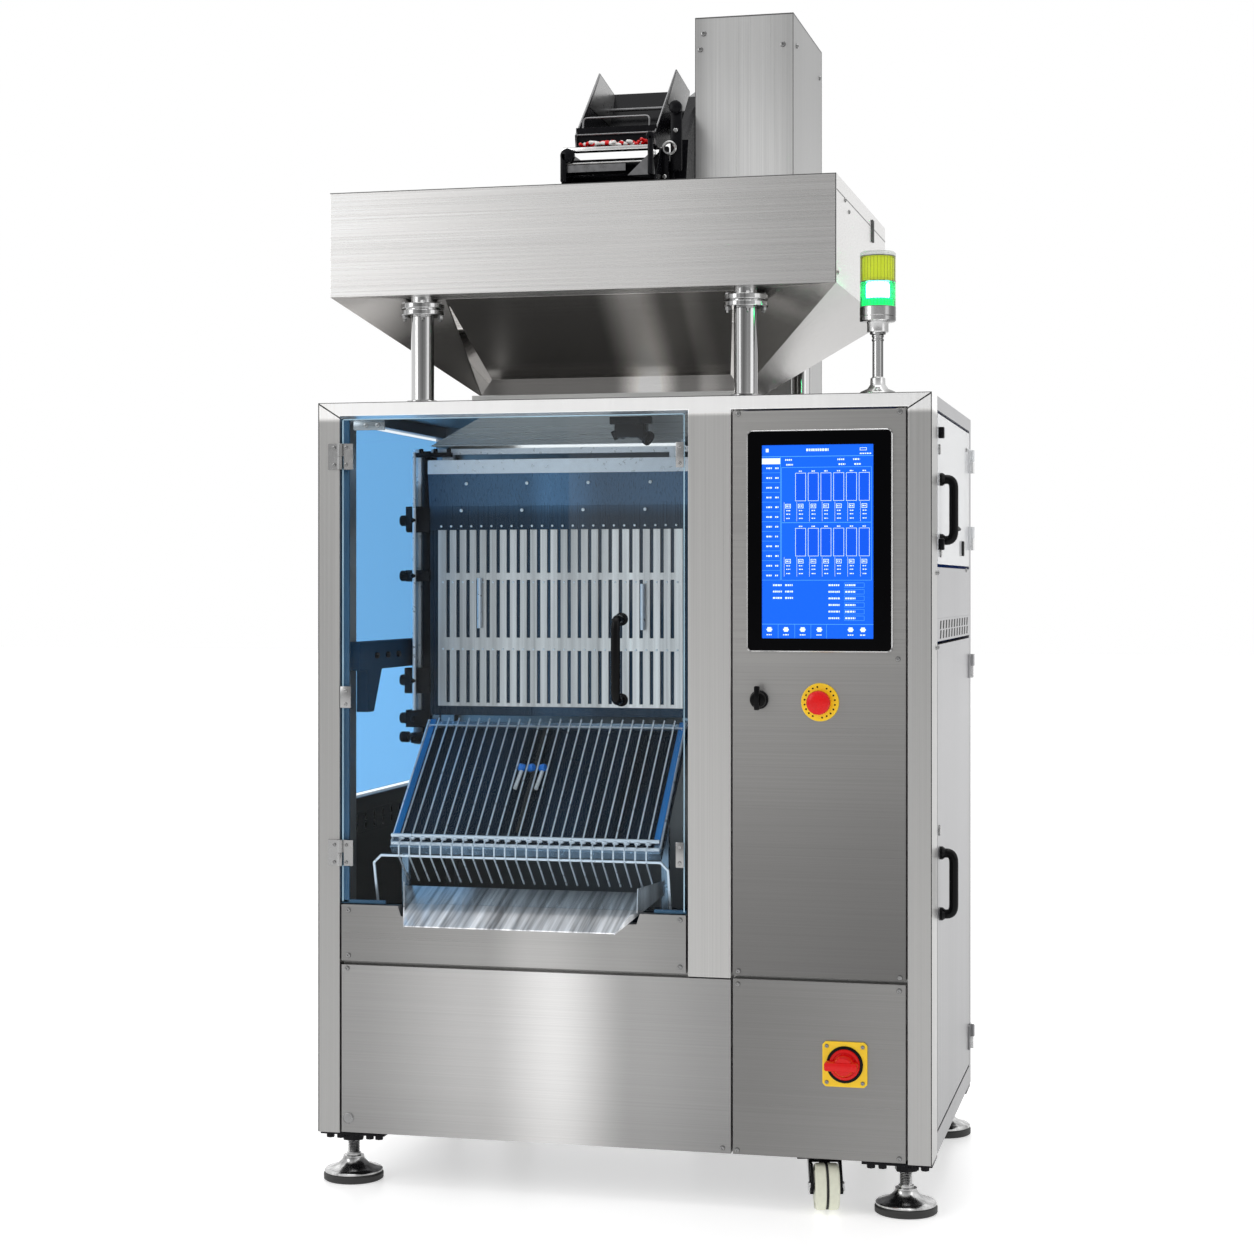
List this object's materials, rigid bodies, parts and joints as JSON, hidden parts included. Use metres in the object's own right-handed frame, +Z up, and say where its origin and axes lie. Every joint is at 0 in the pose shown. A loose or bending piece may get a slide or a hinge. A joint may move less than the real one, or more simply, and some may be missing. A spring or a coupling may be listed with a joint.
{
  "type": "capsule checkweigher",
  "caption": "Stainless cabinet that weighs and sorts capsules: hopper on top, tipping bucket on a lift column, slotted guides, wire slide and discharge tray, on feet and casters.",
  "frame": {"origin": "on the floor, at the middle of the whole machine's footprint", "axes": "+X to the right seen from the front, +Y from the front to the back, +Z up"},
  "size_m": [1.0578, 1.0376, 2.026],
  "materials": {
    "brushed_steel": "brushed stainless sheet",
    "frame_steel": "brushed stainless tube",
    "hopper_steel": "polished stainless sheet",
    "tower_steel": "brushed stainless sheet",
    "guide_steel": "dark brushed steel",
    "lining_steel": "brushed stainless sheet",
    "wire_steel": "polished wire",
    "clear_glass": "clear glass",
    "screen": "glass over a display",
    "bezel": "satin grey",
    "black_plastic": "moulded",
    "black_metal": "satin black",
    "yellow_plastic": "moulded",
    "red_plastic": "moulded",
    "green_lens": "translucent moulding",
    "yellow_lens": "translucent moulding",
    "lamp_white": "moulded and plated",
    "zinc": "zinc plated",
    "wheel_grey": "grey tread"
  },
  "bodies": {
    "cabinet": {"front_frame": "frame_steel", "body_frame": "frame_steel", "top_panel": "brushed_steel", "rear_panel": "brushed_steel", "control_panel": "brushed_steel", "switch_panel": "brushed_steel", "lower_front_panel": "brushed_steel", "chute_panel": "brushed_steel", "chamber_lining": "lining_steel", "side_panels": "brushed_steel", "vent_panels": "brushed_steel", "fixed_hinges": "frame_steel", "screen_bezel": "bezel", "screen_glass": "screen", "switch_plates": "yellow_plastic", "selector_collar": "zinc", "hopper_band": "hopper_steel", "hopper_funnel": "hopper_steel", "hopper_neck": "hopper_steel", "hopper_pillars": "frame_steel", "lift_column": "tower_steel", "lift_arm": "black_metal", "bucket_chute": "hopper_steel", "lamp_stand": "lamp_white", "lamp_lens_green": "green_lens", "lamp_lens_yellow": "yellow_lens", "guide_plate": "guide_steel", "guide_housing": "guide_steel", "guide_rods": "wire_steel", "clamp_blocks": "black_metal", "support_beams": "guide_steel", "slide_frame": "wire_steel", "slide_tray": "guide_steel", "lane_wires": "wire_steel", "discharge_tray": "brushed_steel", "levelling_feet": "zinc", "foot_pads": "black_plastic", "caster_plates": "zinc"},
    "front_door": {"front_door_glass": "clear_glass", "front_door_hinges": "frame_steel", "front_door_handle": "black_plastic"},
    "right_upper_door": {"right_upper_door": "clear_glass", "right_upper_door_handle": "black_plastic"},
    "right_lower_door": {"right_lower_door": "brushed_steel", "right_lower_door_handle": "black_plastic"},
    "left_door": {"left_door": "clear_glass", "left_door_handle": "black_plastic"},
    "stop_button": {"stop_button": "red_plastic"},
    "selector_key": {"selector_key": "black_plastic"},
    "main_switch": {"main_switch_handle": "red_plastic"},
    "bucket": {"bucket": "hopper_steel"},
    "caster_fork_front_right": {"caster_fork_front_right": "zinc"},
    "caster_wheel_front_right": {"caster_wheel_front_right": "wheel_grey"},
    "caster_fork_rear_left": {"caster_fork_rear_left": "zinc"},
    "caster_wheel_rear_left": {"caster_wheel_rear_left": "wheel_grey"},
    "caster_fork_rear_right": {"caster_fork_rear_right": "zinc"},
    "caster_wheel_rear_right": {"caster_wheel_rear_right": "wheel_grey"}
  },
  "joints": [
    {"name": "front_door_hinge", "type": "hinge", "parent": "cabinet", "child": "front_door", "pos_m": [-0.4605, -0.4735, 0.85], "axis": [0, 0, -1], "range_deg": [0, 110]},
    {"name": "right_upper_door_hinge", "type": "hinge", "parent": "cabinet", "child": "right_upper_door", "pos_m": [0.505, 0.144, 1.13], "axis": [0, 0, 1], "range_deg": [0, 110]},
    {"name": "right_lower_door_hinge", "type": "hinge", "parent": "cabinet", "child": "right_lower_door", "pos_m": [0.505, 0.144, 0.5], "axis": [0, 0, 1], "range_deg": [0, 110]},
    {"name": "left_door_hinge", "type": "hinge", "parent": "cabinet", "child": "left_door", "pos_m": [-0.505, 0.144, 0.93], "axis": [0, 0, -1], "range_deg": [0, 110]},
    {"name": "stop_button_press", "type": "slide", "parent": "cabinet", "child": "stop_button", "axis": [0, 1, 0], "range_m": [0, 0.004]},
    {"name": "selector_turn", "type": "hinge", "parent": "cabinet", "child": "selector_key", "pos_m": [0.231, -0.4685, 0.797], "axis": [0, 1, 0], "range_deg": [0, 90]},
    {"name": "main_switch_turn", "type": "hinge", "parent": "cabinet", "child": "main_switch", "pos_m": [0.366, -0.4685, 0.234], "axis": [0, 1, 0], "range_deg": [-90, 0]},
    {"name": "bucket_tip", "type": "hinge", "parent": "cabinet", "child": "bucket", "pos_m": [-0.1335, 0.2665, 1.85], "axis": [-1, 0, 0], "range_deg": [0, 40]},
    {"name": "swivel_front_right", "type": "hinge", "parent": "cabinet", "child": "caster_fork_front_right", "pos_m": [0.325, -0.4135, 0.0725], "axis": [0, 0, 1], "continuous": true},
    {"name": "roll_front_right", "type": "hinge", "parent": "caster_fork_front_right", "child": "caster_wheel_front_right", "pos_m": [0.33434, -0.45239, 0.039], "axis": [0.9724, 0.2334, 0], "continuous": true},
    {"name": "swivel_rear_left", "type": "hinge", "parent": "cabinet", "child": "caster_fork_rear_left", "pos_m": [-0.325, 0.1165, 0.0725], "axis": [0, 0, 1], "continuous": true},
    {"name": "roll_rear_left", "type": "hinge", "parent": "caster_fork_rear_left", "child": "caster_wheel_rear_left", "pos_m": [-0.31566, 0.07761, 0.039], "axis": [0.9724, 0.2334, 0], "continuous": true},
    {"name": "swivel_rear_right", "type": "hinge", "parent": "cabinet", "child": "caster_fork_rear_right", "pos_m": [0.325, 0.1165, 0.0725], "axis": [0, 0, 1], "continuous": true},
    {"name": "roll_rear_right", "type": "hinge", "parent": "caster_fork_rear_right", "child": "caster_wheel_rear_right", "pos_m": [0.33434, 0.07761, 0.039], "axis": [0.9724, 0.2334, 0], "continuous": true}
  ]
}
